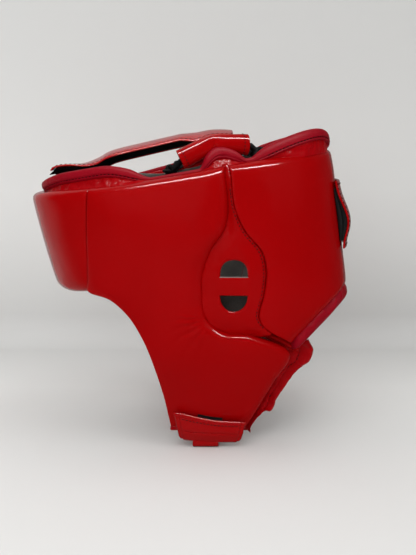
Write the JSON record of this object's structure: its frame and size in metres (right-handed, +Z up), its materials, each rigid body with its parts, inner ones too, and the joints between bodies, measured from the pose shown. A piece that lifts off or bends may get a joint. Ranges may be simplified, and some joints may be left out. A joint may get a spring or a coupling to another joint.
{
  "type": "boxing headgear",
  "caption": "Open-face boxing headgear with padded forehead, cheeks and rear halves, laced crown, hook-and-loop crown, rear and chin straps; protects the head in sparring.",
  "frame": {"origin": "on the table under the middle of the outline, where the chin strap rests", "axes": "+Z up; the face looks towards -Y; +X is the wearer's left"},
  "size_m": [0.1972, 0.2557, 0.2431],
  "materials": {
    "red_leather": "semi-gloss smooth leather",
    "soft_red_leather": "soft satin leather",
    "grey_lining": "matt suede",
    "foam": "closed-cell foam",
    "black_tape": "hook-and-loop pile",
    "black_lace": "woven cord"
  },
  "bodies": {
    "shell": {"forehead_foam": "foam", "forehead_cover": "red_leather", "forehead_lining": "grey_lining", "front_collar": "soft_red_leather", "front_binding": "soft_red_leather", "left_side_foam": "foam", "left_side_cover": "red_leather", "left_side_lining": "grey_lining", "left_side_collar": "soft_red_leather", "left_side_binding": "soft_red_leather", "left_jaw_binding": "soft_red_leather", "left_ear_panel": "red_leather", "left_lace_sleeve": "red_leather", "left_lace": "black_lace", "right_side_foam": "foam", "right_side_cover": "red_leather", "right_side_lining": "grey_lining", "right_side_collar": "soft_red_leather", "right_side_binding": "soft_red_leather", "right_jaw_binding": "soft_red_leather", "right_ear_panel": "red_leather", "right_lace_sleeve": "red_leather", "right_lace": "black_lace", "crown_bridge": "red_leather", "crown_loop_tape": "black_tape", "crown_strap_anchor": "red_leather", "chin_loop_patch": "black_tape", "chin_anchor": "red_leather", "chin_anchor_pad": "black_tape"},
    "crown_strap": {"crown_strap": "red_leather", "crown_hook_tape": "black_tape"},
    "left_rear": {"left_rear_foam": "foam", "left_rear_cover": "red_leather", "left_rear_lining": "grey_lining", "left_rear_collar": "soft_red_leather", "left_rear_binding": "soft_red_leather", "left_neck_binding": "soft_red_leather", "left_lace_end": "black_lace", "rear_loop_patch": "black_tape"},
    "right_rear": {"right_rear_foam": "foam", "right_rear_cover": "red_leather", "right_rear_lining": "grey_lining", "right_rear_collar": "soft_red_leather", "right_rear_binding": "soft_red_leather", "right_neck_binding": "soft_red_leather", "right_lace_end": "black_lace", "rear_strap_root": "red_leather"},
    "rear_strap": {"rear_strap": "red_leather", "rear_hook_tape": "black_tape"},
    "chin_strap": {"chin_strap": "red_leather", "chin_tongue": "red_leather", "chin_hook_tape": "black_tape", "chin_cup": "soft_red_leather"}
  },
  "joints": [
    {"name": "crown_strap_peel", "type": "hinge", "parent": "shell", "child": "crown_strap", "pos_m": [0, -0.107, 0.2128], "axis": [1, 0, 0], "range_deg": [0, 100]},
    {"name": "chin_strap_open", "type": "hinge", "parent": "shell", "child": "chin_strap", "pos_m": [-0.066, 0.012, 0.0093], "axis": [0, 1, 0], "range_deg": [0, 100]},
    {"name": "right_rear_spread", "type": "hinge", "parent": "shell", "child": "right_rear", "pos_m": [-0.0965, 0.03, 0.2], "axis": [0, 0, 1], "range_deg": [0, 12], "stiffness_Nm_per_rad": 0.6},
    {"name": "left_rear_spread", "type": "hinge", "parent": "shell", "child": "left_rear", "pos_m": [0.0965, 0.03, 0.2], "axis": [0, 0, -1], "range_deg": [0, 12], "stiffness_Nm_per_rad": 0.6},
    {"name": "rear_strap_peel", "type": "hinge", "parent": "right_rear", "child": "rear_strap", "pos_m": [-0.03, 0.1215, 0.177], "axis": [0, -0.137, 0.9906], "range_deg": [0, 100]}
  ],
  "couplings": [
    {"joint": "left_rear_spread", "follows": "right_rear_spread", "ratio": 1}
  ]
}
